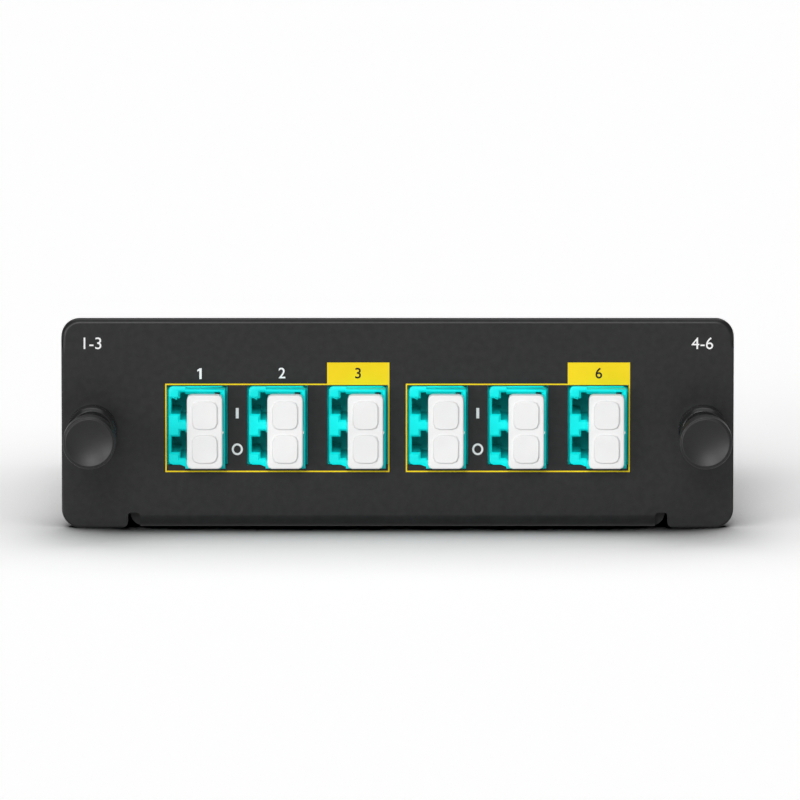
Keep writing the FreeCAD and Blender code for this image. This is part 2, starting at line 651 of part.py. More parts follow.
def latch_plunger(side):
    x = side * LATCH_X
    front = -HEAD_FRONT
    rim_rear = front + HEAD_T
    neck_rear = rim_rear + NECK_T
    profile = []
    for part in (0.4, 0.75, 1):
        profile.append((DISH_R * part, front + DISH_T * (1 - part * part)))
    profile += corner_round(HEAD_R, front, HEAD_EDGE_R, 2)
    profile += [(HEAD_R, rim_rear), (NECK_R, neck_rear), (PIN_R, neck_rear)]
    profile += [(PIN_R, PIN_REAR - PIN_R / 2), (PIN_R / 2, PIN_REAR)]
    return turned(x, LATCH_Z, profile)


# Inner plugs ----------------------------------------------------------------

def lc_plug(x, z):
    half = PLUG_SIDE / 2
    block = box(x - half, PLUG_FRONT, z - half, x + half, PLUG_REAR, z + half)
    root = PLUG_FRONT + LEVER_START
    tip = root + LEVER_L
    rise = x - half - LEVER_RISE
    points = [V(x - half, root, 0), V(rise, tip, 0), V(rise + LEVER_T, tip, 0), V(x - half, root + LEVER_T * 3, 0)]
    points = [p + V(0, 0, z - LEVER_W / 2) for p in points]
    lever = polygon_prism(points, V(0, 0, LEVER_W))
    plug = fuse([block, lever])
    front_bore = small_rod(x, z, PLUG_FRONT - 1, MID_Y + HOLDER_HALF + PLUG_SEAT, HOLDER_R + PLUG_SEAT)
    bore = small_rod(x, z, PLUG_FRONT - 1, MID_Y + FERRULE_L, FERRULE_R + FERRULE_CLEAR)
    return plug.cut([front_bore, bore])


def ports():
    return [(x, z) for x in lead_xs() for z in port_zs()]


def ferrules():
    return [small_rod(x, z, MID_Y, MID_Y + FERRULE_L, FERRULE_R) for x, z in ports()]


def boots():
    pieces = []
    for x, z in ports():
        low = [V(x + dx, PLUG_REAR, z + dz) for dx, dz in circle_points(BOOT_R, SIDES)]
        high = [V(x + dx, BOOT_REAR, z + dz) for dx, dz in circle_points(BOOT_END_R, SIDES)]
        pieces.append(ringed([low, high]))
    return pieces


# Fibre ----------------------------------------------------------------------

def cord(start, heading, steps, r):
    """Cord in a level plane. A step is ("run", length) or ("turn", radius, degrees to the left)."""
    up = V(0, 0, 1)
    section = circle_points(r, CORD_SIDES)
    rings = []

    def ring(at, way, stretch):
        left = up.cross(way)
        rings.append([at + left * (dx * stretch) + up * dz for dx, dz in section])

    at = start
    way = heading
    ring(at, way, 1)
    for step in steps:
        if step[0] == "run":
            at = at + way * step[1]
            continue
        count = max(1, round(abs(step[2]) / CORD_STEP))
        half = math.radians(abs(step[2]) / count / 2)
        half_turn = FreeCAD.Rotation(up, step[2] / count / 2)
        for _ in range(count):
            at = at + way * (step[1] * math.tan(half))
            ring(at, half_turn.multVec(way), 1 / math.cos(half))
            way = half_turn.multVec(half_turn.multVec(way))
            at = at + way * (step[1] * math.tan(half))
    ring(at, way, 1)
    return ringed(rings)


def lead(x, z):
    """Lead from its boot to the outside of the coil."""
    around = COIL_AROUND
    if x + LEAD_BEND <= COIL_A:
        steps = [("run", LEAD_STRAIGHT), ("turn", LEAD_BEND, -90), ("run", LEAD_RUN)]
    else:
        dx = x + LEAD_BEND - COIL_A
        dy = math.sqrt((LEAD_BEND + around) ** 2 - dx * dx)
        straight = COIL_Y - dy - BOOT_REAR
        angle = math.degrees(math.atan2(dy, dx))
        follow = math.degrees(LEAD_RUN / around)
        steps = [("run", straight), ("turn", LEAD_BEND, -angle), ("turn", around, follow)]
    return cord(V(x, BOOT_REAR, z), V(0, 1, 0), steps, LEAD_R)


def fibre_leads():
    return [lead(x, z) for x, z in ports()]


def stadium(r, z0, z1):
    """Long round-ended block; its ends have flats."""
    points = []
    for side in (1, -1):
        for i in range(END_STEPS + 1):
            a = math.pi * (i / END_STEPS - 0.5)
            points.append(V(side * (COIL_A + r * math.cos(a)), COIL_Y + side * r * math.sin(a), z0))
    return polygon_prism(points, V(0, 0, z1 - z0))


def fibre_coil():
    outside = stadium(COIL_R, COIL_Z, COIL_TOP)
    return outside.cut(stadium(COIL_R - COIL_T, COIL_Z - 1, COIL_TOP + 1))


def splitter_places():
    """Splitters lie inside the band: the front pair, then the rear pair."""
    reach = COIL_R - COIL_T - SPLITTER_GAP - SPLITTER_R
    zs = (SPLITTER_Z, SPLITTER_Z + SPLITTER_RISE)
    return [(COIL_Y + way * reach, z, way) for way in (-1, 1) for z in zs]


def splitter(y, z):
    half = SPLITTER_L / 2
    rings = []
    for x, r in ((-half, SPLITTER_R - SPLITTER_EDGE), (SPLITTER_EDGE - half, SPLITTER_R),
                 (half - SPLITTER_EDGE, SPLITTER_R), (half, SPLITTER_R - SPLITTER_EDGE)):
        rings.append([V(x, y + dy, z + dz) for dy, dz in circle_points(r, SIDES)])
    return ringed(rings)


def leg(side, way, y, z):
    """Leg from a splitter's end along the inside of the coil's end."""
    around = abs(y - COIL_Y)
    steps = [("run", LEG_RUN), ("turn", around, -way * side * LEG_ANGLE)]
    return cord(V(side * SPLITTER_L / 2, y, z), V(side, 0, 0), steps, LEAD_R)


def splitter_legs():
    legs = []
    for y, z, way in splitter_places():
        close = COIL_Y + way * (COIL_R - COIL_T - COIL_GAP - LEAD_R - (SPLITTER_R - LEAD_R) / 2)
        legs.append(leg(-1, way, close, z))
        legs.append(leg(1, way, close, z - LEG_GAP / 2))
        legs.append(leg(1, way, close, z + LEG_GAP / 2))
    return legs


def fibre_guide(x, way):
    """Clip around the band and the two splitters beside it."""
    outer = COIL_R + GUIDE_GAP
    inner = COIL_R - COIL_T - 2 * SPLITTER_GAP - 2 * SPLITTER_R
    x0 = x - GUIDE_W / 2
    x1 = x + GUIDE_W / 2
    top = COIL_TOP + GUIDE_OVER
    pieces = []

    def slab(r0, r1, z0, z1):
        ya = COIL_Y + way * r0
        yb = COIL_Y + way * r1
        pieces.append(box(x0, min(ya, yb), z0, x1, max(ya, yb), z1))

    slab(inner - GUIDE_T, outer + GUIDE_T, SHEET, COIL_Z)
    slab(outer, outer + GUIDE_T, COIL_Z, top + GUIDE_T)
    slab(inner - GUIDE_T, inner, COIL_Z, top + GUIDE_T)
    slab(outer - GUIDE_GAP - HOOK, outer, top, top + GUIDE_T)
    slab(inner, inner + HOOK, top, top + GUIDE_T)
    return fuse(pieces)


def guide_places():
    beside = LEAD_BEND + LEAD_RUN + GUIDE_SIDE + GUIDE_W / 2
    spots = [lead_xs()[i] + beside for i in (0, 2)]
    return [(x, way) for way in (-1, 1) for x in spots]


# Print ----------------------------------------------------------------------

def panel_print():
    frames = []
    xs = adapter_xs()
    count = ADAPTERS // 2
    w = ADAPTER_W / 2 + CUT_CLEAR_X + PRINT_SIDE
    z1 = ADAPTER_Z + ADAPTER_H / 2 + CUT_CLEAR_Z + PRINT_TOP
    z0 = ADAPTER_Z - ADAPTER_H / 2 - CUT_CLEAR_Z - PRINT_FOOT
    for first in (0, count):
        x0 = xs[first] - w
        x1 = xs[first + count - 1] + w
        frame = box(x0, -PRINT_T, z0, x1, 0, z1)
        frame = frame.cut(box(x0 + LINE, -1, z0 + LINE, x1 - LINE, 1, z1 - LINE))
        flag = box(x1 - FLAG_W, -PRINT_T, z1 - LINE, x1, 0, z1 + FLAG_H)
        frames.append(fuse([frame, flag]))
    return frames


def export(node, shapes):
    if not isinstance(shapes, list):
        shapes = [shapes]
    solids = [s for shape in shapes for s in shape.Solids]
    whole = solids[0] if len(solids) == 1 else Part.makeCompound(solids)
    whole = whole.copy()
    whole.translate(FRAME_SHIFT)
    whole.exportStep("parts/" + node + ".step")


def main():
    os.makedirs("parts", exist_ok=True)
    export("base_tray", base_tray())
    export("lid", lid())
    export("lid_screws", lid_screws())
    for i, x in enumerate(adapter_xs()):
        front, rear = adapter(x)
        export("adapter_%d" % (i + 1), front)
        export("adapter_rear_%d" % (i + 1), rear)
        export("dust_cap_%d" % (i + 1), dust_cap(x))
    export("sleeves", sleeves())
    export("retainer", retainer())
    export("retainer_nuts", retainer_nuts())
    for name, side in (("left", -1), ("right", 1)):
        export("latch_grommet_" + name, latch_grommet(side))
        export("latch_plunger_" + name, latch_plunger(side))
    for i, (x, z) in enumerate(ports()):
        export("lc_plug_%02d" % (i + 1), lc_plug(x, z))
    export("ferrules", ferrules())
    export("boots", boots())
    export("fibre_leads", fibre_leads())
    export("fibre_coil", fibre_coil())
    for i, (y, z, way) in enumerate(splitter_places()):
        export("splitter_%d" % (i + 1), splitter(y, z))
    export("splitter_legs", splitter_legs())
    for i, (x, way) in enumerate(guide_places()):
        export("fibre_guide_%d" % (i + 1), fibre_guide(x, way))
    export("panel_print", panel_print())


main()
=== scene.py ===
import json
import math
import bmesh
import bpy
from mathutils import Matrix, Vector

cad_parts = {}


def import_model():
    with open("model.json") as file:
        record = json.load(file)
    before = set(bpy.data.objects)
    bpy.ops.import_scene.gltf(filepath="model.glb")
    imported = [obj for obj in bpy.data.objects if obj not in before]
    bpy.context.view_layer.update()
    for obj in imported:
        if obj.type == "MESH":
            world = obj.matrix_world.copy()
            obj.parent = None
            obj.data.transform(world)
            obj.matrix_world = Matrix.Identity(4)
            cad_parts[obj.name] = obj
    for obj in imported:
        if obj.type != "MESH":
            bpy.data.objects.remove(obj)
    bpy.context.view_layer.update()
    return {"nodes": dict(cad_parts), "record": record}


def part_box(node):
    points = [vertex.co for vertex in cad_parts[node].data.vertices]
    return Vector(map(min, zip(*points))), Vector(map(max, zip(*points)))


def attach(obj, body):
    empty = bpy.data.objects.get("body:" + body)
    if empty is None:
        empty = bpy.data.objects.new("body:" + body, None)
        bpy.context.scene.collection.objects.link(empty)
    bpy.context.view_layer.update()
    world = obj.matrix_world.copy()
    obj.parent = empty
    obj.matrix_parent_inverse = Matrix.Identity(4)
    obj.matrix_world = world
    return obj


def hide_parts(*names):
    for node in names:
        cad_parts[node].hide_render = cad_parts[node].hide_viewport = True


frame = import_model()
nodes = frame["nodes"]

# All lengths are in metres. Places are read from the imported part.
tray_lo, tray_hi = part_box("base_tray")
left_lo, left_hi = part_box("latch_grommet_left")
FACE_Y = tray_lo.y                        # the panel's front face
TOP_Z = tray_hi.z                         # the panel's upper edge
PANEL_Z = (tray_lo.z + tray_hi.z) / 2     # the panel's middle
LATCH_X = -(left_lo.x + left_hi.x) / 2    # from the middle to a latch
LATCH_Z = (left_lo.z + left_hi.z) / 2
ADAPTERS = ["adapter_%d" % i for i in range(1, 7)]
REARS = ["adapter_rear_%d" % i for i in range(1, 7)]
CAPS = ["dust_cap_%d" % i for i in range(1, 7)]
CORNERS = ((-1, -1), (1, -1), (1, 1), (-1, 1))
SLOT_OF = {sub["node"]: sub["material_slot"] for sub in frame["record"]["subparts"]}


def add_object(name, data):
    obj = bpy.data.objects.new(name, data)
    bpy.context.scene.collection.objects.link(obj)
    return obj


# Materials ------------------------------------------------------------------

def new_material(name, color, roughness, specular=0.5, metallic=0.0):
    mat = bpy.data.materials.new(name)
    mat.use_nodes = True
    bsdf = mat.node_tree.nodes["Principled BSDF"]
    bsdf.inputs["Base Color"].default_value = (*color, 1)
    bsdf.inputs["Roughness"].default_value = roughness
    bsdf.inputs["Specular IOR Level"].default_value = specular
    bsdf.inputs["Metallic"].default_value = metallic
    return mat, bsdf


def noise(mat, scale, detail, rough, stretch=None):
    """Noise in the piece's own space; stretch makes it run along an axis."""
    tree = mat.node_tree
    coords = tree.nodes.new("ShaderNodeTexCoord")
    tex = tree.nodes.new("ShaderNodeTexNoise")
    tex.inputs["Scale"].default_value = scale
    tex.inputs["Detail"].default_value = detail
    tex.inputs["Roughness"].default_value = rough
    if stretch:
        mapping = tree.nodes.new("ShaderNodeMapping")
        mapping.inputs["Scale"].default_value = stretch
        tree.links.new(coords.outputs["Object"], mapping.inputs["Vector"])
        tree.links.new(mapping.outputs["Vector"], tex.inputs["Vector"])
    else:
        tree.links.new(coords.outputs["Object"], tex.inputs["Vector"])
    return tex.outputs["Fac"]


# Noise gathers around 0.5, so the colours change over the middle of its range.
NOISE_LOW = 0.35
NOISE_HIGH = 0.65


def vary_color(mat, bsdf, fac, dark, light):
    ramp = mat.node_tree.nodes.new("ShaderNodeValToRGB")
    ramp.color_ramp.elements[0].position = NOISE_LOW
    ramp.color_ramp.elements[0].color = (*dark, 1)
    ramp.color_ramp.elements[1].position = NOISE_HIGH
    ramp.color_ramp.elements[1].color = (*light, 1)
    mat.node_tree.links.new(fac, ramp.inputs["Fac"])
    mat.node_tree.links.new(ramp.outputs["Color"], bsdf.inputs["Base Color"])


def vary_roughness(mat, bsdf, fac, low, high):
    span = mat.node_tree.nodes.new("ShaderNodeMapRange")
    span.inputs["To Min"].default_value = low
    span.inputs["To Max"].default_value = high
    mat.node_tree.links.new(fac, span.inputs["Value"])
    mat.node_tree.links.new(span.outputs["Result"], bsdf.inputs["Roughness"])


def bump(mat, bsdf, fac, depth, strength, after=None):
    """Relief of the given depth; after is a bump that this one is laid over."""
    node = mat.node_tree.nodes.new("ShaderNodeBump")
    node.inputs["Strength"].default_value = strength
    node.inputs["Distance"].default_value = depth
    mat.node_tree.links.new(fac, node.inputs["Height"])
    if after is not None:
        mat.node_tree.links.new(after.outputs["Normal"], node.inputs["Normal"])
    mat.node_tree.links.new(node.outputs["Normal"], bsdf.inputs["Normal"])
    return node


def powder_coat():
    """Matt black coat with a coarse orange peel and a fine grain on it."""
    mat, bsdf = new_material("black_coat", (0.009, 0.009, 0.0094), 0.4, 0.3)
    fine = noise(mat, 5200, 3, 0.6)
    coarse = noise(mat, 900, 3, 0.5)
    vary_color(mat, bsdf, coarse, (0.007, 0.007, 0.0073), (0.011, 0.011, 0.0115))
    vary_roughness(mat, bsdf, coarse, 0.32, 0.42)
    first = bump(mat, bsdf, coarse, 0.00004, 0.35)
    bump(mat, bsdf, fine, 0.000012, 0.5, first)
    return mat


def moulded(name, dark, light, low, high, specular, grain=2600, depth=0.00001, scatter=0.0):
    """Plastic or ink: faint clouds of colour, and roughness from low to high with a fine grain."""
    mat, bsdf = new_material(name, light, (low + high) / 2, specular)
    fac = noise(mat, grain, 3, 0.5)
    vary_color(mat, bsdf, noise(mat, 160, 2, 0.5), dark, light)
    vary_roughness(mat, bsdf, fac, low, high)
    bump(mat, bsdf, fac, depth, 0.4)
    if scatter:
        bsdf.inputs["Subsurface Weight"].default_value = scatter
        bsdf.inputs["Subsurface Radius"].default_value = (0.6, 0.8, 0.9)
        bsdf.inputs["Subsurface Scale"].default_value = 0.0006
    return mat


def brushed(name, dark, light, low, high, stretch):
    """Metal with brush lines."""
    mat, bsdf = new_material(name, light, low, 0.5, 1.0)
    fac = noise(mat, 1400, 5, 0.6, stretch)
    vary_color(mat, bsdf, fac, dark, light)
    vary_roughness(mat, bsdf, fac, low, high)
    bump(mat, bsdf, fac, 0.000006, 0.4)
    return mat


COAT = powder_coat()
AQUA = moulded("aqua_plastic", (0.0, 0.8, 0.785), (0.0, 0.9, 0.88), 0.38, 0.5, 0.18)
WHITE = moulded("white_plastic", (0.84, 0.84, 0.84), (0.88, 0.88, 0.88), 0.42, 0.52, 0.3, scatter=0.1)
JET = ((0.0045, 0.0045, 0.0047), (0.0065, 0.0065, 0.0068))
BLACK = moulded("black_plastic", *JET, 0.2, 0.27, 0.5, 1900)
SATIN = moulded("satin_black", *JET, 0.38, 0.44, 0.38, 1900)
PLUG = moulded("plug_plastic", (0.02, 0.4, 0.4), (0.03, 0.5, 0.5), 0.4, 0.5, 0.3)
NATURAL = moulded("inner_plastic", (0.62, 0.62, 0.59), (0.7, 0.7, 0.67), 0.45, 0.6, 0.3)
RUBBER = moulded("boot_rubber", (0.02, 0.02, 0.02), (0.035, 0.035, 0.035), 0.65, 0.8, 0.25)
JACKET = moulded("fibre_jacket", (0.02, 0.5, 0.52), (0.04, 0.62, 0.64), 0.3, 0.4, 0.4)
ZIRCONIA = moulded("zirconia", (0.84, 0.83, 0.8), (0.9, 0.89, 0.86), 0.15, 0.25, 0.5)
YELLOW = moulded("yellow_ink", (0.9, 0.64, 0.006), (0.95, 0.7, 0.01), 0.5, 0.62, 0.2, 4200, 0.000006)
SCREW = brushed("screw_steel", (0.05, 0.05, 0.05), (0.09, 0.09, 0.09), 0.35, 0.5, (1, 1, 6))
PLATE = brushed("plate_steel", (0.5, 0.5, 0.51), (0.62, 0.62, 0.63), 0.3, 0.45, (1, 8, 1))
TUBE = brushed("tube_steel", (0.55, 0.55, 0.56), (0.68, 0.68, 0.69), 0.25, 0.38, (1, 8, 8))
WHITE_INK = moulded("white_ink", (0.86, 0.86, 0.86), (0.9, 0.9, 0.9), 0.5, 0.6, 0.2, 4200, 0.000004)
BLACK_INK = moulded("black_ink", (0.004, 0.004, 0.004), (0.007, 0.007, 0.007), 0.5, 0.6, 0.2, 4200,
                    0.000004)

SLOTS = {
    "black_coat": COAT, "aqua_plastic": AQUA, "white_plastic": WHITE, "black_plastic": BLACK,
    "plug_plastic": PLUG, "inner_plastic": NATURAL, "boot_rubber": RUBBER, "fibre_jacket": JACKET,
    "zirconia": ZIRCONIA, "yellow_ink": YELLOW, "screw_steel": SCREW, "plate_steel": PLATE,
    "tube_steel": TUBE,
}
for name, slot_name in SLOT_OF.items():
    mesh = nodes[name].data
    mesh.materials.clear()
    mesh.materials.append(SLOTS[slot_name])


# Mesh helpers -----------------------------------------------------------------

SHARP = math.radians(40)      # edges that turn more than this are hard edges
FLAT = math.radians(0.4)      # facets that turn less than this are one face
SAME_POINT = 0.000002
IN_LINE = 0.00001             # points within this lie in one plane


def hard(edge):
    return len(edge.link_faces) == 2 and edge.calc_face_angle() > SHARP


def refined(name, body, rules):
    """Copy of a CAD piece with rounded edges. A rule is (test of an edge's ends, width, segments)."""
    source = nodes[name].data
    bm = bmesh.new()
    bm.from_mesh(source)
    bmesh.ops.remove_doubles(bm, verts=bm.verts, dist=SAME_POINT)
    bmesh.ops.dissolve_limit(bm, angle_limit=FLAT, verts=bm.verts, edges=bm.edges)
    for test, width, segments in rules:
        picked = [e for e in bm.edges if hard(e) and test(e.verts[0].co, e.verts[1].co)]
        bmesh.ops.bevel(bm, geom=picked, offset=width, offset_type="OFFSET", segments=segments,
                        profile=0.5, affect="EDGES", clamp_overlap=False)
    for face in bm.faces:
        face.smooth = True
    for edge in bm.edges:
        if hard(edge):
            edge.smooth = False
    mesh = bpy.data.meshes.new(name + "_look")
    bm.to_mesh(mesh)
    bm.free()
    mesh.materials.append(SLOTS[SLOT_OF[name]])
    obj = add_object(name + "_look", mesh)
    weighted = obj.modifiers.new("weighted", "WEIGHTED_NORMAL")
    weighted.keep_sharp = True
    weighted.weight = 100
    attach(obj, body)
    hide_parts(name)


def softened(name, body, width, segments):
    """Copy of a CAD piece with every sharp edge a little rounded."""
    mesh = nodes[name].data.copy()
    mesh.polygons.foreach_set("use_smooth", [True] * len(mesh.polygons))
    obj = add_object(name + "_look", mesh)
    weld = obj.modifiers.new("weld", "WELD")
    weld.merge_threshold = SAME_POINT
    bevel = obj.modifiers.new("bevel", "BEVEL")
    bevel.width = width
    bevel.segments = segments
    bevel.limit_method = "ANGLE"
    bevel.angle_limit = SHARP
    bevel.harden_normals = True
    bevel.use_clamp_overlap = True
    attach(obj, body)
    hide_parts(name)


def add_mesh(name, bm, material, body):
    """Object on a body, from a finished bmesh."""
    mesh = bpy.data.meshes.new(name)
    bmesh.ops.recalc_face_normals(bm, faces=bm.faces)
    bm.to_mesh(mesh)
    bm.free()
    mesh.materials.append(material)
    obj = add_object(name, mesh)
    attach(obj, body)
    return obj


def circle(count, rx, rz):
    """Points around the middle, as offsets."""
    turns = [2 * math.pi * i / count for i in range(count)]
    return [(rx * math.cos(a), rz * math.sin(a)) for a in turns]


def lathe(name, profile, x, z, material, body, segments):
    """Piece turned about the Y axis through (x, z). The profile holds (radius, y) points, in order."""
    bm = bmesh.new()
    rings = []
    for r, y in profile:
        spots = circle(segments, r, r) if r > 0 else [(0, 0)]
        rings.append([bm.verts.new((x + dx, y, z + dz)) for dx, dz in spots])
    for a, b in zip(rings, rings[1:]):
        for i in range(segments):
            j = (i + 1) % segments
            if len(a) == 1:
                bm.faces.new((a[0], b[j], b[i]))
            elif len(b) == 1:
                bm.faces.new((a[i], a[j], b[0]))
            else:
                bm.faces.new((a[i], a[j], b[j], b[i]))
    for face in bm.faces:
        face.smooth = True
    return add_mesh(name, bm, material, body)


def arc(cr, cy, radius, start, end, steps):
    """Points of an arc in the (radius, y) plane; 0 degrees points outward, -90 to the front."""
    points = []
    for i in range(steps + 1):
        a = math.radians(start + (end - start) * i / steps)
        points.append((cr + radius * math.cos(a), cy + radius * math.sin(a)))
    return points


def prism(name, outline, y0, y1, material, body):
    """Flat plate with an outline in the XZ plane, from y0 to y1."""
    bm = bmesh.new()
    front = [bm.verts.new((x, y0, z)) for x, z in outline]
    rear = [bm.verts.new((x, y1, z)) for x, z in outline]
    bm.faces.new(front)
    bm.faces.new(list(reversed(rear)))
    for i in range(len(outline)):
        j = (i + 1) % len(outline)
        bm.faces.new((front[i], front[j], rear[j], rear[i]))
    add_mesh(name, bm, material, body)


def hollow_prism(name, outer, inner, y0, y1, material, body):
    """Flat plate between two outlines with as many points."""
    bm = bmesh.new()
    outer_f, inner_f, outer_r, inner_r = (
        [bm.verts.new((x, y, z)) for x, z in loop] for y in (y0, y1) for loop in (outer, inner))
    for i in range(len(outer)):
        j = (i + 1) % len(outer)
        bm.faces.new((outer_f[i], outer_f[j], inner_f[j], inner_f[i]))
        bm.faces.new((outer_r[i], inner_r[i], inner_r[j], outer_r[j]))
        bm.faces.new((outer_f[i], outer_r[i], outer_r[j], outer_f[j]))
        bm.faces.new((inner_f[i], inner_f[j], inner_r[j], inner_r[i]))
    add_mesh(name, bm, material, body)


# Sheet metal, adapters and caps ---------------------------------------------------

BEHIND = 0.0016               # past the panel's sheet
CUT_X, CUT_Z = 0.039, 0.0115  # the field of the adapters' cut-outs, from the panel's middle
HOLE = 0.0038                 # past a latch's hole, from its middle
EAR_X = 0.0442                # the ears start here
CORNER = 0.00375              # past the panel's corner rounding
PAD = 0.0003                  # a cap's pad stands out by this
CAP_HEAD = 0.0025             # a cap's head, from its pad to its shoulder


def outline_edge(a, b):
    """Edge of the panel's outline, front or rear, away from the cut-outs and holes."""
    middle = (a + b) / 2
    if middle.y > FACE_Y + BEHIND or abs(a.y - b.y) > IN_LINE:
        return False
    if abs(middle.x) < CUT_X and abs(middle.z - PANEL_Z) < CUT_Z:
        return False
    if abs(abs(middle.x) - LATCH_X) < HOLE and abs(middle.z - LATCH_Z) < HOLE:
        return False
    return middle.z > PANEL_Z or abs(middle.x) > EAR_X


def brow_edge(a, b):
    """Top edge of the panel's front face, with its two corners."""
    in_face = max(a.y, b.y) < FACE_Y + IN_LINE
    return in_face and min(a.z, b.z) > TOP_Z - CORNER and outline_edge(a, b)


def shell_edge(a, b):
    """Long edge of the tray or lid behind the panel."""
    return (a - b).length > 0.004 and min(a.y, b.y) > FACE_Y + BEHIND


def level_edge(y):
    """Test for the edges in the plane at y."""
    def test(a, b):
        return abs(a.y - y) < IN_LINE and abs(b.y - y) < IN_LINE
    return test


refined("base_tray", "cassette", [(brow_edge, 0.00085, 7), (outline_edge, 0.0003, 4),
                                  (shell_edge, 0.00018, 2)])
refined("lid", "cassette", [(shell_edge, 0.0002, 3)])
for name in ADAPTERS + REARS:
    softened(name, "cassette", 0.00014, 2)
for index, name in enumerate(CAPS):
    pad_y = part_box(name)[0].y
    refined(name, "cap_%d" % (index + 1), [(level_edge(pad_y), 0.00012, 3),
                                           (level_edge(pad_y + PAD), 0.00026, 4),
                                           (level_edge(pad_y + CAP_HEAD), 0.00014, 2)])


# Latches ------------------------------------------------------------------------

TURN_FLAT = math.cos(math.pi / 24)      # a CAD piece's half width to its radius; it has 24 flats
ROUND_SEGMENTS = 128

# Plunger: a dished head, a cone behind it and a pin. Depths are from its front face, and the pin's end is
# given as radii with their distances from the tip.
DISH_DEPTH = 0.0007
DISH_STEPS = 14
RIM = 0.0003                  # rim beside the dish
RIM_INNER = 0.00004           # rounding between dish and rim
RIM_OUTER = 0.00024           # rounding outside the rim
HEAD_REAR = 0.0034
HEAD_REAR_ROUND = 0.0004
CONE_R = 0.0035
CONE_REAR = 0.0051
CONE_ROUND = 0.0003
PIN_R = 0.0023
PIN_FILLET = 0.0002
PIN_END = ((PIN_R, 0.0013), (0.0020, 0.0006), (0.0011, 0.0), (0, 0.0))

# Grommet: a flange on the panel's face, a barrel through the sheet with a lip behind it, and four legs. The
# barrel is given as radii with their depths from the panel's face, and the legs' ends as the pin's.
BORE_R = 0.0026
BORE_ROUND = 0.0003
BORE_STEP = 0.0001            # short step behind the rounding, which keeps its shading off the bore
FLANGE_SLOPE = 0.0004         # sloped edge of the flange
FLANGE_ROUND = 0.00012        # rounding at both ends of the slope
FLANGE_FOOT = 0.00008
BARREL_R = 0.0034
LIP_R = BARREL_R + 0.00015
LEG_R = 0.0032
BARREL_DEPTH = 0.0021
BARREL = ((BARREL_R, 0.0), (BARREL_R, 0.0015), (LIP_R, 0.00165), (LIP_R, 0.0019), (LEG_R, BARREL_DEPTH))
LEG_START = 0.002             # depth from the panel's face
LEG_END = ((LEG_R, 0.0009), (0.00312, 0.0006), (0.0029, 0.0001), (0.0028, 0.0))
LEG_SLOT = 0.00045            # half the gap between two legs
LEG_MIDDLE_R = 0.0029


def round_box(name):
    """Middle x and z, radius, front y and rear y of a round CAD piece along Y."""
    lo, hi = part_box(name)
    return (lo.x + hi.x) / 2, (lo.z + hi.z) / 2, (hi.x - lo.x) / 2 / TURN_FLAT, lo.y, hi.y


def plunger_look(side):
    name = "latch_plunger_" + side
    x, z, r, front, tip = round_box(name)
    dish = r - RIM
    steps = [i / DISH_STEPS for i in range(DISH_STEPS + 1)]
    profile = [(dish * t, front + DISH_DEPTH * (1 - t * t)) for t in steps]
    profile += arc(dish + RIM_INNER, front + RIM_INNER, RIM_INNER, 180, 270, 3)
    profile += arc(r - RIM_OUTER, front + RIM_OUTER, RIM_OUTER, -90, 0, 8)
    profile += arc(r - HEAD_REAR_ROUND, front + HEAD_REAR, HEAD_REAR_ROUND, 0, 50, 5)
    profile += arc(CONE_R, front + CONE_REAR, CONE_ROUND, 50, 90, 3)
    corner_r, corner_y = PIN_R + PIN_FILLET, front + CONE_REAR + CONE_ROUND
    profile += [(corner_r, corner_y)]
    profile += arc(corner_r, corner_y + PIN_FILLET, PIN_FILLET, 270, 180, 3)
    profile += [(end_r, tip - back) for end_r, back in PIN_END]
    look = lathe("plunger_%s_look" % side, profile, x, z, SATIN, "plunger_" + side,
                 ROUND_SEGMENTS)
    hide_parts(name)


def sweep_closed(bm, outline, x, z, start, end, steps):
    """Adds a closed outline of (radius, y) points swept about the Y axis; a full turn has no ends."""
    full = end - start == 360
    rings = []
    for k in range(steps if full else steps + 1):
        a = math.radians(start + (end - start) * k / steps)
        rings.append([bm.verts.new((x + r * math.cos(a), y, z + r * math.sin(a))) for r, y in outline])
    n = len(outline)
    pairs = list(zip(rings, rings[1:]))
    if full:
        pairs.append((rings[-1], rings[0]))
    for near, far in pairs:
        for i in range(n):
            j = (i + 1) % n
            face = bm.faces.new((near[i], near[j], far[j], far[i]))
            face.smooth = True
    if not full:
        bm.faces.new(rings[0])
        bm.faces.new(list(reversed(rings[-1])))


def grommet_look(side):
    name = "latch_grommet_" + side
    x, z, r, front, tip = round_box(name)
    bm = bmesh.new()
    outline = [(BORE_R, FACE_Y + BARREL_DEPTH), (BORE_R, front + BORE_ROUND + BORE_STEP)]
    outline += arc(BORE_R + BORE_ROUND, front + BORE_ROUND, BORE_ROUND, 180, 270, 4)
    slope = FLANGE_SLOPE + FLANGE_ROUND
    outline += arc(r - slope, front + FLANGE_ROUND, FLANGE_ROUND, -90, -52, 3)
    outline += arc(r - FLANGE_ROUND, front + slope, FLANGE_ROUND, -38, 0, 3)
    outline += arc(r - FLANGE_FOOT, FACE_Y - FLANGE_FOOT, FLANGE_FOOT, 0, 90, 2)
    outline += [(radius, FACE_Y + depth) for radius, depth in BARREL]
    sweep_closed(bm, outline, x, z, 0, 360, ROUND_SEGMENTS)
    leg = [(BORE_R, tip), (BORE_R, FACE_Y + LEG_START), (LEG_R, FACE_Y + LEG_START)]
    leg += [(radius, tip - back) for radius, back in LEG_END]
    gap = math.degrees(math.asin(LEG_SLOT / LEG_MIDDLE_R))
    for quarter in range(4):
        sweep_closed(bm, leg, x, z, 90 * quarter + gap, 90 * (quarter + 1) - gap, 16)
    look = add_mesh("grommet_%s_look" % side, bm, BLACK, "cassette")
    look.data.set_sharp_from_angle(angle=SHARP)
    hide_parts(name)


for side in ("left", "right"):
    plunger_look(side)
    grommet_look(side)


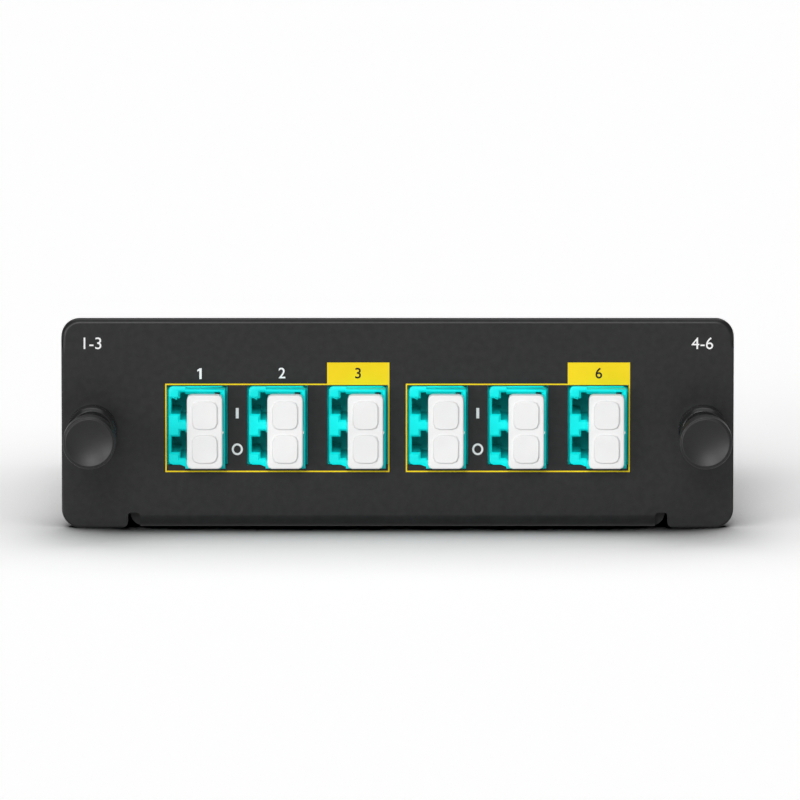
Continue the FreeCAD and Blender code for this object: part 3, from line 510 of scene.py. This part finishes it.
# Lid screws: countersunk heads with a cross recess ----------------------------------

SCREW_R = 0.0019
SCREW_SEGMENTS = 72
HEAD_RINGS = 22
HEAD_LOW = 0.00004            # the heads are sunk by this
ARM = 0.00022                 # half the width of the cross
ARM_SIDE = 0.00007            # slope of its sides
REACH = 0.00115               # from the middle to the end of an arm
REACH_END = 0.0002            # slope of its ends
RECESS = 0.0007               # depth of the cross
SHANK_END = 0.0041
SCREW_SIDE = ((SCREW_R - 0.00004, 0.00002), (SCREW_R, 0.00008), (0.0011, 0.0008), (0.001, 0.0009),
              (0.001, 0.0040))    # radius, and depth below the head


def cross_depth(dx, dy):
    """How far the recess goes down at a point of the head, from 0 to 1."""
    u = min(abs(dx), abs(dy))
    v = max(abs(dx), abs(dy))
    across = max(0.0, min(1.0, (ARM - u) / ARM_SIDE))
    along = max(0.0, min(1.0, (REACH - v) / REACH_END))
    return across * along


def screw_looks():
    lo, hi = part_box("lid_screws")
    top = hi.z - HEAD_LOW
    bm = bmesh.new()
    for cx in (lo.x + SCREW_R, hi.x - SCREW_R):
        for cy in (lo.y + SCREW_R, hi.y - SCREW_R):
            middle = bm.verts.new((cx, cy, top - RECESS))
            rings = []
            for k in range(1, HEAD_RINGS):
                radius = SCREW_R * (k / HEAD_RINGS)
                rings.append([bm.verts.new((cx + dx, cy + dy, top - RECESS * cross_depth(dx, dy)))
                              for dx, dy in circle(SCREW_SEGMENTS, radius, radius)])
            for radius, drop in SCREW_SIDE:
                rings.append([bm.verts.new((cx + dx, cy + dy, top - drop))
                              for dx, dy in circle(SCREW_SEGMENTS, radius, radius)])
            low = bm.verts.new((cx, cy, top - SHANK_END))
            for i in range(SCREW_SEGMENTS):
                j = (i + 1) % SCREW_SEGMENTS
                bm.faces.new((middle, rings[0][i], rings[0][j]))
                for near, far in zip(rings, rings[1:]):
                    bm.faces.new((near[i], far[i], far[j], near[j]))
                bm.faces.new((low, rings[-1][j], rings[-1][i]))
    for face in bm.faces:
        face.smooth = True
    look = add_mesh("lid_screw_looks", bm, SCREW, "cassette")
    look.data.set_sharp_from_angle(angle=math.radians(35))
    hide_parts("lid_screws")


screw_looks()


# Print: plain figures and marks only ------------------------------------------------

INK = 0.00002                 # height of the ink
BOLD = 0.00002                # thickens a stroke on each side
CAPITAL = 0.73                # a figure's height to the font's size
FIGURE_H = 0.00178
CORNER_H = 0.0020
INK_Y = FACE_Y - INK
FLAG_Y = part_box("panel_print")[0].y - INK
ADAPTER_XS = [(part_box(name)[0].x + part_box(name)[1].x) / 2 for name in ADAPTERS]
FIGURE_Z = PANEL_Z + 0.0081
CORNER_Z = PANEL_Z + 0.01295
RING_SEGMENTS = 40
# The figure 1 in mm, from the middle of its foot, and half its height.
ONE = [(0.19, 0), (0.19, 1.76), (-0.13, 1.76), (-0.52, 1.5), (-0.52, 1.2), (-0.19, 1.38), (-0.19, 0)]
ONE_HALF = 0.88


def figure(name, text, x, z, height, material, y, bold=0.0):
    """Text with its middle at (x, z)."""
    curve = bpy.data.curves.new(name, "FONT")
    curve.body = text
    curve.align_x = "CENTER"
    curve.align_y = "CENTER"
    curve.size = height / CAPITAL
    curve.extrude = INK
    curve.offset = bold
    obj = add_object(name, curve)
    obj.rotation_euler = (math.radians(90), 0, 0)
    obj.location = (x, y, z)
    curve.materials.append(material)
    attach(obj, "cassette")


outline = [(ADAPTER_XS[0] + 0.00056 + dx / 1000, FIGURE_Z + (dz - ONE_HALF) / 1000) for dx, dz in ONE]
prism("figure_1", outline, INK_Y, FACE_Y, WHITE_INK, "cassette")
figure("figure_2", "2", ADAPTER_XS[1] + 0.00076, FIGURE_Z, FIGURE_H, WHITE_INK, INK_Y,
       BOLD)
for name, text, x in (("flag_figure_3", "3", ADAPTER_XS[2]), ("flag_figure_6", "6", ADAPTER_XS[5])):
    figure(name, text, x + 0.0001, FIGURE_Z, FIGURE_H, BLACK_INK, FLAG_Y, BOLD)
for name, text, x in (("corner_left", "1-3", -0.0496), ("corner_right", "4-6", 0.0494)):
    figure(name, text, x, CORNER_Z, CORNER_H, WHITE_INK, INK_Y)


def bar_mark(name, x, z, width, height):
    outline = [(x + sx * width / 2, z + sz * height / 2) for sx, sz in CORNERS]
    prism(name, outline, INK_Y, FACE_Y, WHITE_INK, "cassette")


def ring_mark(name, x, z, rx, rz, line):
    outer = [(x + dx, z + dz) for dx, dz in circle(RING_SEGMENTS, rx, rz)]
    inner = [(x + dx, z + dz) for dx, dz in circle(RING_SEGMENTS, rx - line, rz - line)]
    hollow_prism(name, outer, inner, INK_Y, FACE_Y, WHITE_INK, "cassette")


for tag, first in (("a", 0), ("b", 3)):
    between = (ADAPTER_XS[first] + ADAPTER_XS[first + 1]) / 2
    bar_mark("bar_mark_" + tag, between, PANEL_Z + 0.00165, 0.00048, 0.0017)
    ring_mark("ring_mark_" + tag, between, PANEL_Z - 0.00425, 0.0009, 0.00096, 0.00033)


# Raised and cut-off details of the mouldings ------------------------------------------

LATCH_FACE_Y = FACE_Y - 0.0004      # the adapters' latch side
RAISED = 0.00003
MARK_X = 0.00196                    # from an adapter's left side to its marks
ARROW_LINE = 0.6                    # inner outline of the arrow to its outer one
NUB_FRONT, NUB_REAR = 0.0005, 0.0012    # depths from a cap's pad


def latch_marks(name):
    """Raised outline of an arrow above the slots and a short dash below them, on the latch side's face."""
    lo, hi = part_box(name)
    x = lo.x + MARK_X
    front = LATCH_FACE_Y - RAISED
    z = hi.z - 0.0024
    arrow = [(x - 0.00036, z), (x + 0.00034, z + 0.00042), (x + 0.00034, z - 0.00042)]
    middle_x = sum(px for px, pz in arrow) / 3
    inner = [(middle_x + (px - middle_x) * ARROW_LINE, z + (pz - z) * ARROW_LINE) for px, pz in arrow]
    hollow_prism(name + "_arrow", arrow, inner, front, LATCH_FACE_Y, AQUA, "cassette")
    z = lo.z + 0.0017
    dash = [(x - 0.00034, z - 0.00016), (x + 0.0002, z - 0.00016), (x + 0.00036, z),
            (x + 0.0002, z + 0.00016), (x - 0.00034, z + 0.00016)]
    prism(name + "_dash", dash, front, LATCH_FACE_Y, AQUA, "cassette")


def gate_nub(index):
    """Cut-off gate on the right side of a dust cap."""
    name = CAPS[index]
    lo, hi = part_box(name)
    z = (lo.z + hi.z) / 2 - 0.0001
    outline = [(hi.x - 0.0001, z - 0.0003), (hi.x + 0.00006, z - 0.00018), (hi.x + 0.00016, z + 0.00002),
               (hi.x + 0.00008, z + 0.0002), (hi.x - 0.0001, z + 0.00028)]
    prism(name + "_gate", outline, lo.y + NUB_FRONT, lo.y + NUB_REAR, WHITE, "cap_%d" % (index + 1))


for index in range(6):
    latch_marks(ADAPTERS[index])
    gate_nub(index)


# Floor, light and camera --------------------------------------------------------

def camera_mix(tree, lit, seen):
    """Shader that shows seen to the camera and in reflections, and lit to every other ray."""
    mix = tree.nodes.new("ShaderNodeMixShader")
    path = tree.nodes.new("ShaderNodeLightPath")
    either = tree.nodes.new("ShaderNodeMath")
    either.operation = "MAXIMUM"
    tree.links.new(path.outputs["Is Camera Ray"], either.inputs[0])
    tree.links.new(path.outputs["Is Glossy Ray"], either.inputs[1])
    tree.links.new(either.outputs["Value"], mix.inputs["Fac"])
    tree.links.new(lit, mix.inputs[1])
    tree.links.new(seen, mix.inputs[2])
    return mix.outputs["Shader"]


FLOOR_HALF = 8.0
SHADE_REACH = 0.06            # the floor's colour is darkened this near to the object, as painted shade
SHADE_SAMPLES = 24
SHADE_LEAN = (0, 1, 0.03)     # looks back along the floor, so the painted shade lies mostly in front of the object
SHADE_FULL = 0.47             # openness at the foot of the panel
SHADE_CURVE = 0.58
SHADE_MIRRORED = 0.6          # the least openness in reflections, so that they stay light


def floor(albedo, gain):
    """White floor with painted shade: its colour darkens near the object for the camera and, less, in
    reflections.
    """
    bm = bmesh.new()
    bm.faces.new([bm.verts.new((sx * FLOOR_HALF, sy * FLOOR_HALF, 0)) for sx, sy in CORNERS])
    mesh = bpy.data.meshes.new("floor")
    bm.to_mesh(mesh)
    bm.free()
    obj = add_object("floor", mesh)
    mat = bpy.data.materials.new("floor_white")
    mat.use_nodes = True
    tree = mat.node_tree
    tree.nodes.clear()
    out = tree.nodes.new("ShaderNodeOutputMaterial")
    plain = tree.nodes.new("ShaderNodeBsdfDiffuse")
    plain.inputs["Color"].default_value = (albedo, albedo, albedo, 1)
    seen = tree.nodes.new("ShaderNodeBsdfDiffuse")
    # Painted shade: ambient occlusion darkens the floor's colour near the object.
    painted_shade = tree.nodes.new("ShaderNodeAmbientOcclusion")
    painted_shade.samples = SHADE_SAMPLES
    painted_shade.inputs["Distance"].default_value = SHADE_REACH
    painted_shade.inputs["Normal"].default_value = SHADE_LEAN
    least = tree.nodes.new("ShaderNodeMapRange")
    least.inputs["To Min"].default_value = SHADE_MIRRORED
    least.inputs["To Max"].default_value = 0.0
    openness = tree.nodes.new("ShaderNodeMapRange")
    openness.inputs["From Min"].default_value = SHADE_FULL
    curved = tree.nodes.new("ShaderNodeMath")
    curved.operation = "POWER"
    curved.inputs[1].default_value = SHADE_CURVE
    level = tree.nodes.new("ShaderNodeMath")
    level.operation = "MULTIPLY"
    level.inputs[1].default_value = gain
    path = tree.nodes.new("ShaderNodeLightPath")
    tree.links.new(path.outputs["Is Camera Ray"], least.inputs["Value"])
    tree.links.new(least.outputs["Result"], openness.inputs["To Min"])
    tree.links.new(painted_shade.outputs["AO"], openness.inputs["Value"])
    tree.links.new(openness.outputs["Result"], curved.inputs[0])
    tree.links.new(curved.outputs["Value"], level.inputs[0])
    tree.links.new(level.outputs["Value"], seen.inputs["Color"])
    tree.links.new(camera_mix(tree, plain.outputs["BSDF"], seen.outputs["BSDF"]), out.inputs["Surface"])
    mesh.materials.append(mat)


def sun(name, toward, angle, strength):
    """Soft light from far away; toward points from the object to the light."""
    light = bpy.data.lights.new(name, "SUN")
    light.angle = math.radians(angle)
    light.energy = strength
    obj = add_object(name, light)
    obj.rotation_euler = (-Vector(toward)).to_track_quat("-Z", "Y").to_euler()


BACKGROUND = 0.982            # what the camera sees past the floor


def world(strength, mirrored):
    """Plain white sky of the given strength for light, and mirrored for reflections."""
    studio = bpy.data.worlds.new("studio")
    bpy.context.scene.world = studio
    studio.use_nodes = True
    tree = studio.node_tree
    tree.nodes.clear()
    out = tree.nodes.new("ShaderNodeOutputWorld")
    seen = tree.nodes.new("ShaderNodeBackground")
    seen.inputs["Color"].default_value = (BACKGROUND, BACKGROUND, BACKGROUND, 1)
    seen.inputs["Strength"].default_value = 1.0
    lit = tree.nodes.new("ShaderNodeBackground")
    lit.inputs["Color"].default_value = (1, 1, 1, 1)
    path = tree.nodes.new("ShaderNodeLightPath")
    level = tree.nodes.new("ShaderNodeMapRange")
    level.inputs["To Min"].default_value = strength
    level.inputs["To Max"].default_value = mirrored
    tree.links.new(path.outputs["Is Glossy Ray"], level.inputs["Value"])
    tree.links.new(level.outputs["Result"], lit.inputs["Strength"])
    mix = tree.nodes.new("ShaderNodeMixShader")
    tree.links.new(path.outputs["Is Camera Ray"], mix.inputs["Fac"])
    tree.links.new(lit.outputs["Background"], mix.inputs[1])
    tree.links.new(seen.outputs["Background"], mix.inputs[2])
    tree.links.new(mix.outputs["Shader"], out.inputs["Surface"])


floor(0.55, 1.38)
world(0.08, 0.26)
sun("key", (-0.6, -0.78, 0.07), 30, 1.7)
sun("upper", (-0.1, -0.9, 0.4), 18, 1.1)
sun("front", (0.0, -0.98, 0.2), 70, 0.6)
sun("back", (0.0, 0.5, 0.86), 60, 0.75)
sun("top", (0.0, -0.15, 1.0), 60, 0.6)

scene = bpy.context.scene
scene.view_settings.view_transform = "Standard"
scene.view_settings.look = "None"

DISTANCE = 1.7
ELEVATION = math.radians(7.15)
AIM = Vector((0.00039, FACE_Y, PANEL_Z + 0.0038))
lens = bpy.data.cameras.new("camera")
lens.lens = 471.9
lens.sensor_width = 36.0
lens.clip_start = 0.01
lens.clip_end = 20.0
camera = add_object("camera", lens)
camera.location = AIM + DISTANCE * Vector((0, -math.cos(ELEVATION), math.sin(ELEVATION)))
camera.rotation_euler = (AIM - camera.location).to_track_quat("-Z", "Y").to_euler()
scene.camera = camera
